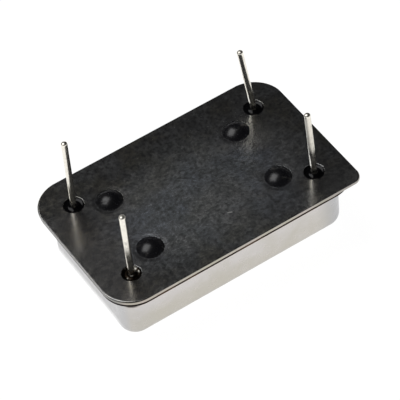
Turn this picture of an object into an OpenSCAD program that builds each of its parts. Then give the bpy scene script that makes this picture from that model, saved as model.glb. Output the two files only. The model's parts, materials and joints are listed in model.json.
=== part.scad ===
// Crystal oscillator in a welded metal can with four pins on a 14-pin footprint.
// It stands on the flat face of its cap with the pins pointing up (+Z).
// The origin is at the middle of the cap's flat face. Millimetres throughout.
// X runs along the can, pin 1 is at +X -Y, beside the square corner of the base plate.

/* [Cap] */
// Length of the drawn body of the cap
cap_l = 18.35; // [16.6:0.05:20.5]
// Width of the drawn body of the cap
cap_w = 10.6; // [9.6:0.05:11.8]
// Height from the flat face of the cap to the outer face of the base plate
can_h = 5.1; // [4.9:0.05:6.5]
// Thickness of the cap's sheet
cap_wall = 0.25; // [0.18:0.01:0.3]
// Corner radius of the cap, seen from above
cap_corner_r = 1.3; // [1.1:0.05:1.8]
// Radius of the drawn edge round the flat face
cap_edge_r = 0.85; // [0.5:0.05:1]
// Radius between the cap's wall and its flange
cap_root_r = 0.18; // [0.1:0.01:0.25]
// Width of the weld flange at the two ends
flange_end_w = 0.925; // [0.7:0.025:1.2]
// Width of the weld flange along the two sides
flange_side_w = 1.05; // [0.7:0.05:1.2]
// Distance of the cap's flange inside the edge of the base plate
flange_setback = 0.05; // [0.02:0.01:0.1]

/* [Base plate] */
// Thickness of the rim that the cap is welded to
plate_t = 0.25; // [0.2:0.01:0.35]
// Radius of the three round corners
plate_corner_r = 2.3; // [1.8:0.1:2.6]
// Radius of the square corner that marks pin 1
index_corner_r = 0.75; // [0.4:0.05:1.2]
// Rounding of the rim's outer edge
plate_edge_r = 0.09; // [0.04:0.01:0.11]
// Rounding of the sheared edges of the rim and of the flange
sheared_edge_r = 0.05; // [0.03:0.01:0.07]
// Thickness of the platform inside the cap
platform_t = 0.85; // [0.6:0.05:1]
// Clearance between the platform and the cap's wall
platform_gap = 0.15; // [0.08:0.01:0.2]

/* [Pins] */
// Distance from a pin's middle to the outside of the cap's end; the columns are 15.24 apart
pin_end_inset = 1.555; // [1.4:0.005:1.8]
// Distance from a pin's middle to the outside of the cap's side; the rows are 7.62 apart
pin_side_inset = 1.49; // [1.35:0.005:1.65]
// Diameter of a pin
pin_d = 0.46; // [0.4:0.01:0.51]
// Length of a pin outside the can
pin_out = 5.95; // [4:0.05:7]
// Rounding of a pin's end
pin_tip_r = 0.13; // [0.05:0.01:0.18]
// Height above the base plate at which a leaning pin bends
pin_bend_h = 0.1; // [0.08:0.01:0.5]
// Swelling of the pin's wire at its bend
pin_bend_swell = 0.006; // [0.003:0.001:0.02]
// Lean of pin 1 in degrees: its tilt, and the direction that it tilts to, from +X
pin_1_lean = [2.4, 129.5]; // [0:0.1:360]
// Lean of pin 7 in degrees: its tilt and direction
pin_7_lean = [1.2, 99]; // [0:0.1:360]
// Lean of pin 8 in degrees: its tilt and direction
pin_8_lean = [5.6, 58.6]; // [0:0.1:360]
// Lean of pin 14 in degrees: its tilt and direction
pin_14_lean = [6.1, 150.5]; // [0:0.1:360]
// Length of a pin past the substrate, inside the can
pin_in = 0.35; // [0.2:0.05:0.5]

/* [Glass] */
// Diameter of the glass round an insulated pin
seal_d = 1.5; // [1.2:0.05:1.7]
// Depth of the glass's edge below the faces of the base
seal_recess = 0.07; // [0.03:0.01:0.12]
// Further dip of the glass between the pin and its hole
seal_dip = 0.08; // [0.04:0.01:0.12]
// Distance along the can from a pin's middle to the middle of its stand-off bead
bead_offset_x = 2.27; // [1.9:0.01:3]
// Distance across the can from a pin's middle to the middle of its stand-off bead
bead_offset_y = 1.135; // [0.9:0.005:1.4]
// Diameter of a stand-off bead's dome
bead_d = 1.98; // [1.8:0.02:2.2]
// Height of a stand-off bead's dome
bead_h = 0.42; // [0.3:0.02:0.6]
// Diameter of the hole that a stand-off bead fills
bead_hole_d = 1.5; // [1:0.05:1.7]

/* [Ground joint] */
// Diameter of the pocket round the ground pin
ground_pocket_d = 1.4; // [1.1:0.05:1.6]
// Depth of the pocket round the ground pin
ground_pocket_h = 0.3; // [0.2:0.02:0.45]
// Dip of the braze in the pocket
braze_dip = 0.14; // [0.08:0.01:0.17]

/* [Substrate] */
// Thickness of the ceramic substrate
substrate_t = 0.63; // [0.38:0.01:0.7]
// Clearance between the substrate and the cap's wall
substrate_gap = 0.45; // [0.25:0.05:0.5]
// Diameter of a pin's hole in the substrate
substrate_hole_d = 0.75; // [0.65:0.01:0.9]
// Thickness of the adhesive film between the base and the substrate
film_t = 0.12; // [0.05:0.01:0.2]
// Length of the adhesive film
film_l = 12.4; // [8:0.1:12.8]
// Width of the adhesive film
film_w = 7; // [4:0.1:8]
// Thickness of the printed conductors
track_t = 0.03; // [0.02:0.005:0.05]
// Width of a printed conductor
track_w = 0.3; // [0.2:0.05:0.4]
// Diameter of the printed pad round a pin
pad_d = 1.25; // [1.2:0.01:1.38]
// Diameter of the solder on a pad
solder_d = 1.1; // [0.95:0.05:1.2]
// Height of the solder on a pad
solder_h = 0.28; // [0.15:0.01:0.32]

/* [Crystal] */
// Diameter of the quartz blank
blank_d = 7; // [5.5:0.1:7.4]
// Thickness of the quartz blank
blank_t = 0.17; // [0.1:0.01:0.3]
// Distance of the left clip's foot inside the end of the substrate
clip_margin = 0.105; // [0.05:0.005:0.3]
// Gap between the printed conductors and the blank
blank_gap = 1.1; // [0.8:0.05:1.3]
// Diameter of an electrode
electrode_d = 4; // [3:0.1:4.6]
// Thickness of an electrode
electrode_t = 0.03; // [0.02:0.005:0.05]
// Width of an electrode's tab
electrode_tab_w = 0.8; // [0.5:0.05:1]
// Width of a mounting clip
clip_w = 1.2; // [1:0.05:1.6]
// Thickness of a clip's strip
clip_t = 0.12; // [0.08:0.01:0.15]
// Length of a clip's foot
clip_foot_l = 0.95; // [0.7:0.05:1]
// Length of a clip's shelf over the blank
clip_shelf_l = 0.8; // [0.6:0.05:1]
// Outer radius of a clip's bends
clip_bend_r = 0.22; // [0.16:0.01:0.3]
// Gap between a clip's riser and the blank's edge
clip_edge_gap = 0.1; // [0.05:0.01:0.2]
// Width of the conductive bond on a shelf
bond_w = 0.9; // [0.6:0.05:1]
// Thickness of the conductive bond between a shelf and the blank
bond_t = 0.06; // [0.04:0.01:0.1]

/* [Chips] */
// Distance along the can from the middles of pins 1 and 14 to the middle of the oscillator die
die_offset = 2.95; // [2.7:0.05:3.1]
// Distance between the middles of the two load capacitors
load_spacing = 3; // [2.6:0.05:3.2]
// Distance of the capacitors' middles inside the long edge of the substrate
chip_row_inset = 1.5; // [1.35:0.05:1.6]
// Length of the oscillator die
die_l = 1.6; // [1.2:0.1:1.8]
// Width of the oscillator die
die_w = 1.4; // [1:0.1:1.8]
// Thickness of the oscillator die
die_t = 0.3; // [0.2:0.01:0.4]
// Diameter of the resin dome over the die
dome_d = 3.2; // [2.8:0.1:3.4]
// Height of the resin dome over the die
dome_h = 0.75; // [0.6:0.05:1]
// Length of the bypass capacitor
bypass_l = 2; // [1.8:0.1:2.2]
// Width of the bypass capacitor
bypass_w = 1.25; // [1:0.05:1.4]
// Height of the bypass capacitor
bypass_h = 0.8; // [0.5:0.05:1.2]
// Length of a load capacitor
load_l = 1.6; // [1.4:0.1:1.8]
// Width of a load capacitor
load_w = 0.8; // [0.7:0.05:1]
// Height of a load capacitor
load_h = 0.8; // [0.5:0.05:1]
// Length of the plated band on a capacitor's end
band_l = 0.35; // [0.25:0.05:0.45]
// Thickness of the plating on a capacitor's end
band_t = 0.04; // [0.03:0.01:0.06]

/* [Hidden] */
$fn = 64;

// Outline of the base plate and of the cap's flange
plate_l = cap_l + 2 * flange_end_w;
plate_w = cap_w + 2 * flange_side_w;
flange_l = plate_l - 2 * flange_setback;
flange_w = plate_w - 2 * flange_setback;
flange_corner_r = plate_corner_r - flange_setback;

// Room inside the cap
inside_l = cap_l - 2 * cap_wall;
inside_w = cap_w - 2 * cap_wall;
inside_corner_r = cap_corner_r - cap_wall;
inside_edge_r = cap_edge_r - cap_wall;

// Outline of the platform and of the substrate
platform_l = inside_l - 2 * platform_gap;
platform_w = inside_w - 2 * platform_gap;
platform_corner_r = inside_corner_r - platform_gap;
substrate_l = inside_l - 2 * substrate_gap;
substrate_w = inside_w - 2 * substrate_gap;

// Levels, from the flat face of the cap up to the base plate's outer face
rim_z = can_h - plate_t;
platform_z = rim_z - platform_t;
substrate_top_z = platform_z - film_t;
substrate_z = substrate_top_z - substrate_t;
track_z = substrate_z - track_t;
pin_end_z = substrate_z - pin_in;
blank_top_z = track_z - blank_gap;
blank_z = blank_top_z - blank_t;
shelf_z = blank_top_z + bond_t;

// How far a cutter runs past the face that it opens
cut_over = 0.5;

// Where the pins and the beads stand
pin_r = pin_d / 2;
pin_x = cap_l / 2 - pin_end_inset;
pin_y = cap_w / 2 - pin_side_inset;
bead_x = pin_x - bead_offset_x;
bead_y = pin_y - bead_offset_y;
PIN_1 = [pin_x, -pin_y];
PIN_7 = [-pin_x, -pin_y];
PIN_8 = [-pin_x, pin_y];
PIN_14 = [pin_x, pin_y];
PINS = [PIN_1, PIN_7, PIN_8, PIN_14];
SEALED_PINS = [PIN_1, PIN_8, PIN_14];
BEADS = [[bead_x, -bead_y], [-bead_x, -bead_y], [-bead_x, bead_y], [bead_x, bead_y]];

// Places of the chips on the substrate, whose middles keep their distances from its edges and the pins
die_x = pin_x - die_offset;
load_a_x = die_x - load_spacing;
chip_row_y = substrate_w / 2 - chip_row_inset;
die_pos = [die_x, 0];
bypass_pos = [die_x, chip_row_y];
load_a_pos = [load_a_x, -chip_row_y];
load_b_pos = [die_x, -chip_row_y];
BYPASS_SIZE = [bypass_l, bypass_w, bypass_h];
LOAD_SIZE = [load_l, load_w, load_h];

// The blank's distance from the can's middle towards pins 7 and 8, the blank side
// of each clip's riser, and the distance from the blank's middle to a bond
foot_end = clip_margin + clip_foot_l + clip_bend_r + clip_edge_gap;
blank_x = substrate_l / 2 - foot_end - blank_d / 2;
left_riser_x = -blank_x - blank_d / 2 - clip_edge_gap;
right_riser_x = -blank_x + blank_d / 2 + clip_edge_gap;
bond_reach = blank_d / 2 + clip_edge_gap + clip_t - clip_bend_r - clip_shelf_l;

steel = [0.78, 0.77, 0.74];
dark_nickel = [0.2, 0.2, 0.21];
bright_nickel = [0.88, 0.87, 0.84];
black_glass = [0.03, 0.03, 0.04];

// Rounded rectangle with its own radius at each corner: +x+y, -x+y, -x-y, +x-y
module plan(l, w, radii) {
    x = l / 2;
    y = w / 2;
    r = radii;
    polygon([
        [x, y - r[0]], [x - r[0], y], [r[1] - x, y], [-x, y - r[1]],
        [-x, r[2] - y], [r[2] - x, -y], [x - r[3], -y], [x, r[3] - y],
    ]);
    translate([x - r[0], y - r[0]]) circle(r = r[0]);
    translate([r[1] - x, y - r[1]]) circle(r = r[1]);
    translate([r[2] - x, r[2] - y]) circle(r = r[2]);
    translate([x - r[3], r[3] - y]) circle(r = r[3]);
}

// Sweeps a profile round the edge of a plan. The profile's x is measured
// outwards from the edge and its y is the height.
module edge_sweep(l, w, radii) {
    x = l / 2;
    y = w / 2;
    r = radii;
    corner(x - r[0], y - r[0], 0, r[0]) children();
    corner(r[1] - x, y - r[1], 90, r[1]) children();
    corner(r[2] - x, r[2] - y, 180, r[2]) children();
    corner(x - r[3], r[3] - y, 270, r[3]) children();
    side([x, r[3] - y], 0, w - r[3] - r[0]) children();
    side([x - r[0], y], 90, l - r[0] - r[1]) children();
    side([-x, y - r[1]], 180, w - r[1] - r[2]) children();
    side([r[2] - x, -y], 270, l - r[2] - r[3]) children();
}

module corner(x, y, turn, r) {
    translate([x, y, 0])
        rotate([0, 0, turn])
            rotate_extrude(angle = 90)
                translate([r, 0])
                    children();
}

module side(start, turn, length) {
    translate([start[0], start[1], 0])
        rotate([0, 0, turn])
            rotate([90, 0, 0])
                mirror([0, 0, 1])
                    linear_extrude(length)
                        children();
}

// Flat plate with rounded edges: lower_r at its lower face and upper_r at its upper one
module rounded_plate(l, w, radii, t, lower_r, upper_r) {
    inset = 2 * max(lower_r, upper_r);
    linear_extrude(t)
        plan(l - 2 * inset, w - 2 * inset, [for (r = radii) r - inset]);
    edge_sweep(l, w, radii)
        union() {
            translate([-inset, 0]) square([inset - lower_r, lower_r]);
            translate([-inset, lower_r]) square([inset, t - lower_r - upper_r]);
            translate([-inset, t - upper_r]) square([inset - upper_r, upper_r]);
            translate([-lower_r, lower_r]) circle(r = lower_r);
            translate([-upper_r, t - upper_r]) circle(r = upper_r);
        }
}

// Closed block of a drawn cup: upright corners of radius r, lower edge of radius edge_r
module cup_block(l, w, h, r, edge_r) {
    linear_extrude(h)
        plan(l - 2 * edge_r, w - 2 * edge_r, [for (i = [0 : 3]) r - edge_r]);
    edge_sweep(l, w, [r, r, r, r])
        union() {
            translate([-edge_r, edge_r]) square([edge_r, h - edge_r]);
            intersection() {
                translate([-edge_r, edge_r]) circle(r = edge_r);
                translate([-edge_r, 0]) square(edge_r);
            }
        }
}

// Ring of glass or metal that fills a hole round a pin, with a dished face at its top
module dished_ring(inner_r, outer_r, h, dip) {
    half = (outer_r - inner_r) / 2;
    dish_r = (half * half + dip * dip) / (2 * dip);
    rotate_extrude()
        difference() {
            translate([inner_r, 0]) square([2 * half, h]);
            translate([inner_r + half, h + dish_r - dip]) circle(r = dish_r);
        }
}

// Low dome standing on z = 0
module low_dome(d, h) {
    dome_r = (d * d / 4 + h * h) / (2 * h);
    rotate_extrude()
        intersection() {
            translate([0, h - dome_r]) circle(r = dome_r);
            square([d, h]);
        }
}

// Cap: one drawn cup with a flat weld flange round its mouth
module cap() {
    color(steel)
        difference() {
            union() {
                cup_block(cap_l, cap_w, rim_z, cap_corner_r, cap_edge_r);
                translate([0, 0, rim_z - cap_wall])
                    rounded_plate(
                        flange_l, flange_w, [for (i = [0 : 3]) flange_corner_r],
                        cap_wall, sheared_edge_r, sheared_edge_r
                    );
                translate([0, 0, rim_z - cap_wall - cap_root_r])
                    edge_sweep(cap_l, cap_w, [for (i = [0 : 3]) cap_corner_r])
                        difference() {
                            square(cap_root_r);
                            translate([cap_root_r, 0]) circle(r = cap_root_r);
                        }
            }
            translate([0, 0, cap_wall])
                cup_block(inside_l, inside_w, rim_z, inside_corner_r, inside_edge_r);
        }
}

// Base: thin rim with a thick platform under it, pierced for the glass and the ground pin
module base_plate() {
    color(dark_nickel)
        difference() {
            union() {
                translate([0, 0, rim_z])
                    rounded_plate(
                        plate_l, plate_w,
                        [plate_corner_r, plate_corner_r, plate_corner_r, index_corner_r],
                        plate_t, sheared_edge_r, plate_edge_r
                    );
                translate([0, 0, platform_z])
                    linear_extrude(platform_t)
                        plan(platform_l, platform_w, [for (i = [0 : 3]) platform_corner_r]);
            }
            for (p = SEALED_PINS) through_hole(p, seal_d);
            for (p = BEADS) through_hole(p, bead_hole_d);
            through_hole(PIN_7, pin_d);
            translate([PIN_7[0], PIN_7[1], can_h - ground_pocket_h])
                cylinder(d = ground_pocket_d, h = ground_pocket_h + cut_over);
        }
}

module through_hole(place, d) {
    translate([place[0], place[1], platform_z - cut_over])
        cylinder(d = d, h = can_h - platform_z + 2 * cut_over);
}

// Straight rod with a rounded upper end
module pin_shaft(length) {
    rotate_extrude() {
        square([pin_r - pin_tip_r, length]);
        square([pin_r, length - pin_tip_r]);
        translate([pin_r - pin_tip_r, length - pin_tip_r])
            intersection() {
                circle(r = pin_tip_r);
                square(pin_tip_r);
            }
    }
}

// Pin that runs straight through the base and leans outside it, from a slight
// swelling of its wire. Its tip is as high as an upright pin's.
module pin(place, lean) {
    bend_z = can_h + pin_bend_h;
    color(bright_nickel)
        translate([place[0], place[1], 0]) {
            translate([0, 0, pin_end_z]) cylinder(d = pin_d, h = bend_z - pin_end_z);
            translate([0, 0, bend_z]) {
                sphere(r = pin_r + pin_bend_swell);
                rotate([0, lean[0], lean[1]])
                    pin_shaft((pin_out - pin_bend_h) / cos(lean[0]));
            }
        }
}

// Glass that holds an insulated pin in the base, dished on both faces
module glass_seal(place) {
    half_h = (plate_t + platform_t) / 2 - seal_recess;
    color(black_glass)
        translate([place[0], place[1], (can_h + platform_z) / 2]) {
            dished_ring(pin_r, seal_d / 2, half_h, seal_dip);
            mirror([0, 0, 1]) dished_ring(pin_r, seal_d / 2, half_h, seal_dip);
        }
}

// Braze in the pocket round the ground pin
module ground_braze() {
    color(steel)
        translate([PIN_7[0], PIN_7[1], can_h - ground_pocket_h])
            dished_ring(pin_r, ground_pocket_d / 2, ground_pocket_h, braze_dip);
}

// Glass bead fused into the base, with the dome that keeps the can off its board
module standoff_bead(place) {
    color(black_glass)
        translate([place[0], place[1], 0]) {
            translate([0, 0, platform_z]) cylinder(d = bead_hole_d, h = can_h - platform_z);
            translate([0, 0, can_h]) low_dome(bead_d, bead_h);
        }
}

module substrate() {
    color("ivory")
        translate([0, 0, substrate_z])
            linear_extrude(substrate_t)
                difference() {
                    square([substrate_l, substrate_w], center = true);
                    for (p = PINS) translate(p) circle(d = substrate_hole_d);
                }
}

module adhesive_film() {
    color("tan")
        translate([-film_l / 2, -film_w / 2, substrate_top_z])
            cube([film_l, film_w, film_t]);
}

// One printed conductor: from each point it runs along X and then along Y to the next
module track(points) {
    for (i = [1 : len(points) - 1]) {
        bend = [points[i][0], points[i - 1][1]];
        track_run(points[i - 1], bend);
        track_run(bend, points[i]);
    }
}

// Straight run of a conductor between two points on a line along X or Y
module track_run(a, b) {
    low = [min(a[0], b[0]), min(a[1], b[1])];
    high = [max(a[0], b[0]), max(a[1], b[1])];
    side = [track_w, track_w];
    translate(low - side / 2) square(high - low + side);
}

// Two printed lands under the ends of a capacitor that lies along X
module lands(place, size) {
    for (s = [-1, 1])
        translate([place[0] + s * (size[0] - band_l) / 2, place[1]])
            square([band_l, size[1]], center = true);
}

// All printed conductors, as their outline on the substrate's face. A track ends
// beside the die, under the resin, where a bond wire would meet it.
module track_plan() {
    edge_y = substrate_w / 2 - track_w;
    crystal_y = load_w / 2 + track_w - chip_row_y;
    die_left = die_x - die_l / 2 - track_w;
    die_right = die_x + die_l / 2 + track_w;
    die_edge = die_w / 2 + track_w;
    ground_y = (die_w / 2 + chip_row_y - bypass_w / 2) / 2;
    bypass_end = [(bypass_l - band_l) / 2, 0];
    load_end = [(load_l - band_l) / 2, 0];
    foot_reach = clip_bend_r + clip_foot_l / 2;
    left_foot = [left_riser_x - foot_reach, 0];
    right_foot = [right_riser_x + foot_reach, 0];
    difference() {
        union() {
            for (p = PINS) translate(p) circle(d = pad_d);
            // Supply: pin 14, the bypass capacitor and the die
            track([PIN_14, bypass_pos + bypass_end, [die_right, die_edge]]);
            // Ground: pin 7, both load capacitors, the die and the bypass capacitor
            track([PIN_7, [PIN_7[0], -edge_y], load_a_pos - load_end]);
            track([PIN_7, [PIN_7[0], -edge_y], load_b_pos - load_end]);
            track([load_b_pos - load_end, [load_b_pos[0] - load_end[0], 0]]);
            track([bypass_pos - bypass_end, [bypass_pos[0] - bypass_end[0], ground_y], die_pos]);
            // Output: pin 8 and the die
            track([PIN_8, [PIN_8[0], edge_y], [die_x - bypass_l, die_edge], [die_left, die_edge]]);
            // Enable: pin 1 and the die
            track([PIN_1, [PIN_1[0], 0], [die_right, 0]]);
            // Crystal: each clip, its load capacitor and the die
            track([left_foot, [left_foot[0], crystal_y], [die_left, -die_edge]]);
            track([[load_a_x, crystal_y], load_a_pos + load_end]);
            track([right_foot, [die_left, 0]]);
            track([load_b_pos + load_end, [die_right, -die_edge]]);
            translate(die_pos) square([die_l, die_w], center = true);
            lands(bypass_pos, BYPASS_SIZE);
            lands(load_a_pos, LOAD_SIZE);
            lands(load_b_pos, LOAD_SIZE);
            for (foot = [left_foot, right_foot])
                translate(foot) square([clip_foot_l, clip_w], center = true);
        }
        for (p = PINS) translate(p) circle(d = substrate_hole_d);
    }
}

module conductor_tracks() {
    color("goldenrod")
        translate([0, 0, track_z])
            linear_extrude(track_t)
                track_plan();
}

// Solder that fills a pin's hole in the substrate and rises along the pin. Its
// hollow slope has its centre a chord's length away from the middle of its chord.
module solder_joint(place) {
    foot = (solder_d - pin_d) / 2;
    chord = norm([foot, solder_h]);
    color("silver")
        translate([place[0], place[1], track_z])
            rotate_extrude() {
                translate([pin_r, 0])
                    square([(substrate_hole_d - pin_d) / 2, track_t + substrate_t]);
                difference() {
                    translate([pin_r, -solder_h]) square([foot, solder_h]);
                    translate([pin_r + foot / 2 + solder_h, -solder_h / 2 - foot])
                        circle(r = norm([chord, chord / 2]));
                }
            }
}

module oscillator_die() {
    color("dimgray")
        translate([die_pos[0] - die_l / 2, die_pos[1] - die_w / 2, track_z - die_t])
            cube([die_l, die_w, die_t]);
}

// Resin over the die and the conductors that end beside it
module resin_dome() {
    color("black")
        difference() {
            translate([die_pos[0], die_pos[1], substrate_z])
                mirror([0, 0, 1])
                    low_dome(dome_d, dome_h);
            oscillator_die();
            conductor_tracks();
        }
}

// Ceramic body of a capacitor that hangs under the conductors and lies along X
module capacitor_body(place, size) {
    color("peru")
        translate([place[0], place[1], track_z - size[2] / 2])
            cube([for (side = size) side - 2 * band_t], center = true);
}

// Plated ends of the same capacitor
module capacitor_ends(place, size) {
    color("silver")
        difference() {
            for (s = [-1, 1])
                translate([place[0] + s * (size[0] - band_l) / 2, place[1], track_z - size[2] / 2])
                    cube([band_l, size[1], size[2]], center = true);
            capacitor_body(place, size);
        }
}

module quartz_blank() {
    color([0.85, 0.9, 0.95])
        translate([-blank_x, 0, blank_z])
            cylinder(d = blank_d, h = blank_t);
}

// Electrode disc on one face of the blank, with a tab towards the clip on one side
module electrode(z, towards) {
    color("silver")
        translate([-blank_x, 0, z])
            linear_extrude(electrode_t) {
                circle(d = electrode_d);
                translate([towards > 0 ? 0 : -bond_reach, -electrode_tab_w / 2])
                    square([bond_reach, electrode_tab_w]);
            }
}

// Strip bent twice: a foot on the substrate, a riser and a shelf over the blank.
// riser_x is the riser's side towards the blank, and away is 1 or -1 along X.
module crystal_clip(riser_x, away) {
    r = clip_bend_r;
    riser_h = track_z - shelf_z - 2 * r;
    color(bright_nickel)
        translate([riser_x, clip_w / 2, 0])
            mirror([away > 0 ? 0 : 1, 0, 0])
                rotate([90, 0, 0])
                    linear_extrude(clip_w) {
                        translate([r, track_z - clip_t]) square([clip_foot_l, clip_t]);
                        clip_bend([r, track_z - r], -1, 1);
                        translate([0, shelf_z + r]) square([clip_t, riser_h]);
                        clip_bend([clip_t - r, shelf_z + r], 1, -1);
                        translate([clip_t - r - clip_shelf_l, shelf_z])
                            square([clip_shelf_l, clip_t]);
                    }
}

// Quarter of a ring, on the side of its centre that the two signs give
module clip_bend(centre, x_sign, y_sign) {
    translate(centre)
        intersection() {
            difference() {
                circle(r = clip_bend_r);
                circle(r = clip_bend_r - clip_t);
            }
            translate([x_sign > 0 ? 0 : -clip_bend_r, y_sign > 0 ? 0 : -clip_bend_r])
                square(clip_bend_r);
        }
}

// Conductive adhesive that grips the blank's edge under a clip's shelf
module crystal_bond(towards) {
    length = blank_d / 2 + clip_edge_gap - bond_reach;
    color("gray")
        difference() {
            translate([-blank_x, -bond_w / 2, blank_z - bond_t])
                translate([towards > 0 ? bond_reach : -bond_reach - length, 0, 0])
                    cube([length, bond_w, blank_t + 2 * bond_t]);
            quartz_blank();
        }
}

cap();
base_plate();
pin(PIN_1, pin_1_lean);  // pin_1
pin(PIN_7, pin_7_lean);  // pin_7
pin(PIN_8, pin_8_lean);  // pin_8
pin(PIN_14, pin_14_lean);  // pin_14
glass_seal(PIN_1);  // glass_seal_1
glass_seal(PIN_8);  // glass_seal_8
glass_seal(PIN_14);  // glass_seal_14
ground_braze();
standoff_bead(BEADS[0]);  // standoff_bead_1
standoff_bead(BEADS[1]);  // standoff_bead_7
standoff_bead(BEADS[2]);  // standoff_bead_8
standoff_bead(BEADS[3]);  // standoff_bead_14
substrate();
adhesive_film();
conductor_tracks();
solder_joint(PIN_1);  // solder_joint_1
solder_joint(PIN_7);  // solder_joint_7
solder_joint(PIN_8);  // solder_joint_8
solder_joint(PIN_14);  // solder_joint_14
oscillator_die();
resin_dome();
capacitor_body(bypass_pos, BYPASS_SIZE);  // bypass_capacitor
capacitor_ends(bypass_pos, BYPASS_SIZE);  // bypass_capacitor_ends
capacitor_body(load_a_pos, LOAD_SIZE);  // load_capacitor_a
capacitor_ends(load_a_pos, LOAD_SIZE);  // load_capacitor_a_ends
capacitor_body(load_b_pos, LOAD_SIZE);  // load_capacitor_b
capacitor_ends(load_b_pos, LOAD_SIZE);  // load_capacitor_b_ends
quartz_blank();
electrode(blank_top_z, -1);  // electrode_upper
electrode(blank_z - electrode_t, 1);  // electrode_lower
crystal_clip(left_riser_x, -1);  // crystal_clip_left
crystal_clip(right_riser_x, 1);  // crystal_clip_right
crystal_bond(-1);  // crystal_bond_left
crystal_bond(1);  // crystal_bond_right
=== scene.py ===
import json
import math

import bmesh
import bpy
from bpy.props import FloatProperty, FloatVectorProperty, IntProperty, PointerProperty
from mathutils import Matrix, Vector


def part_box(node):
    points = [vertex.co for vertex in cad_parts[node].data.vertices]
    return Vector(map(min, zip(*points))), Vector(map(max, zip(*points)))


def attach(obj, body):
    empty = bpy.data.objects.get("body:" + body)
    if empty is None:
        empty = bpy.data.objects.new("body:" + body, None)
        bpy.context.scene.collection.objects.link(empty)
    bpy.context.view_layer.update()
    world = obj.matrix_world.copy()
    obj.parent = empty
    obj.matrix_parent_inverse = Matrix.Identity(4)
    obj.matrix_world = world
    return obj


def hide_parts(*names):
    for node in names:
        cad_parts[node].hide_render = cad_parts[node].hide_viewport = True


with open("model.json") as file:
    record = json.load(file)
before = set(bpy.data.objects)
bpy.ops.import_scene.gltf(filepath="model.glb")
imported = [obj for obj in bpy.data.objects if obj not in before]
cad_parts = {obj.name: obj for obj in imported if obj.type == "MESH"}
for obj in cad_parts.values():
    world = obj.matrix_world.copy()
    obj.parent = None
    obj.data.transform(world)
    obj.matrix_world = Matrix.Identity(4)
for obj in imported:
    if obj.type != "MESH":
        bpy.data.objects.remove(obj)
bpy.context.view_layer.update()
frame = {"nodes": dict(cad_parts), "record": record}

bl_info = {
    "name": "Crystal Oscillator",
    "version": (1, 0, 0),
    "blender": (4, 5, 0),
    "location": "View3D > Sidebar > Oscillator",
    "description": "Dresses a crystal oscillator in a welded metal can and stands it on a studio floor",
    "category": "Object",
}

MM = 0.001
BODY = "root"
WHITE = (1.0, 1.0, 1.0)
QUARTER = math.pi / 2
PIN_NODES = ("pin_1", "pin_7", "pin_8", "pin_14")
SEAL_NODES = ("glass_seal_1", "glass_seal_8", "glass_seal_14")
BEAD_NODES = ("standoff_bead_1", "standoff_bead_7", "standoff_bead_8", "standoff_bead_14")
OUTSIDE_NODES = ("cap", "base_plate", "ground_braze") + PIN_NODES + SEAL_NODES + BEAD_NODES

MOUNTS = {mount["name"]: mount for mount in frame["record"]["mounts"]}
SLOTS = {part["node"]: part["material_slot"] for part in frame["record"]["subparts"]}
CAP_LOW, CAP_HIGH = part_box("cap")
PLATE_LOW, PLATE_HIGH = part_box("base_plate")
BRAZE_LOW, BRAZE_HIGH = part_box("ground_braze")
PIN_RADIUS = MOUNTS["pin_7"]["dims"]["r_mm"] * MM
PIN_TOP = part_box("pin_7")[1].z

# Width of the strip beside a rounding that keeps the flat face's shading clean
SUPPORT = 0.02 * MM
# The floor lies this far below the object
FLOOR_GAP = 0.01 * MM
# Points closer than this are one point
MERGE_GAP = 0.001 * MM
# Edges that turn by more than this are shaded as sharp
SHARP_ANGLE = math.radians(35)
# Width of the camera's sensor in millimetres
SENSOR_WIDTH = 36.0
# Steps round a fine edge and over a domed or dished face, and sides of a hole in the base plate
FINE_STEPS = 5
DOME_STEPS = 24
HOLE_SIDES = 72


# ---------------------------------------------------------------- settings


def length(label, description, millimetres, low=0.0, high=50.0):
    """A length property, whose default is given in millimetres."""
    return FloatProperty(
        name=label, description=description, default=millimetres * MM,
        min=low * MM, max=high * MM, precision=5, subtype="DISTANCE", unit="LENGTH",
    )


def share(label, description, default, high=1.0):
    """A property for a plain number from 0 up."""
    return FloatProperty(
        name=label, description=description, default=default, min=0.0, max=high, precision=3
    )


def slope(label, description, degrees):
    """An angle property, whose default is given in degrees."""
    return FloatProperty(
        name=label, description=description, default=math.radians(degrees),
        min=0.0, max=QUARTER, subtype="ANGLE", unit="ROTATION",
    )


def count(label, description, default, low, high):
    """A property for a whole number."""
    return IntProperty(name=label, description=description, default=default, min=low, max=high)


def triple(label, description, default, **kind):
    """A property of three numbers."""
    return FloatVectorProperty(name=label, description=description, default=default, size=3, **kind)


def colour(label, description, default):
    """A colour property."""
    return triple(label, description, default, min=0.0, max=1.0, subtype="COLOR")


class CapSettings(bpy.types.PropertyGroup):
    """Sizes and colours of the drawn cap."""

    wall: length("Wall", "Thickness of the drawn sheet", 0.25)
    end_flange: length("End Flange", "Width of the weld flange at the two ends", 0.875)
    side_flange: length("Side Flange", "Width of the weld flange along the two sides", 1.0)
    flange_corner: length("Flange Corner", "Corner radius of the weld flange", 2.25)
    corner: length("Corner", "Radius of the cap's upright corners", 1.3)
    edge: length("Edge", "Rounding of the edge round the flat face", 0.85)
    root: length("Root", "Fillet between the wall and the flange", 0.18)
    sheared: length("Sheared Edge", "Rounding of the flange's sheared edge", 0.03)
    steps: count("Steps", "Steps round each corner", 14, 4, 64)
    metal: colour("Metal", "Colour of the satin nickel", (0.615, 0.59, 0.575))
    # The warm colour also gathers towards the floor, where it paints shade
    warm: colour("Warm Metal", "Colour of the nickel's warm patches", (0.53, 0.505, 0.45))
    # The weld scale colours paint a band that is partly weld burn and partly shade under the flange
    scale: colour("Weld Scale", "Colour of the burnt edge beside the weld", (0.022, 0.01, 0.005))
    straw: colour("Straw Scale", "Colour of the burnt edge where it is only browned", (0.1, 0.058, 0.03))


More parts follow.
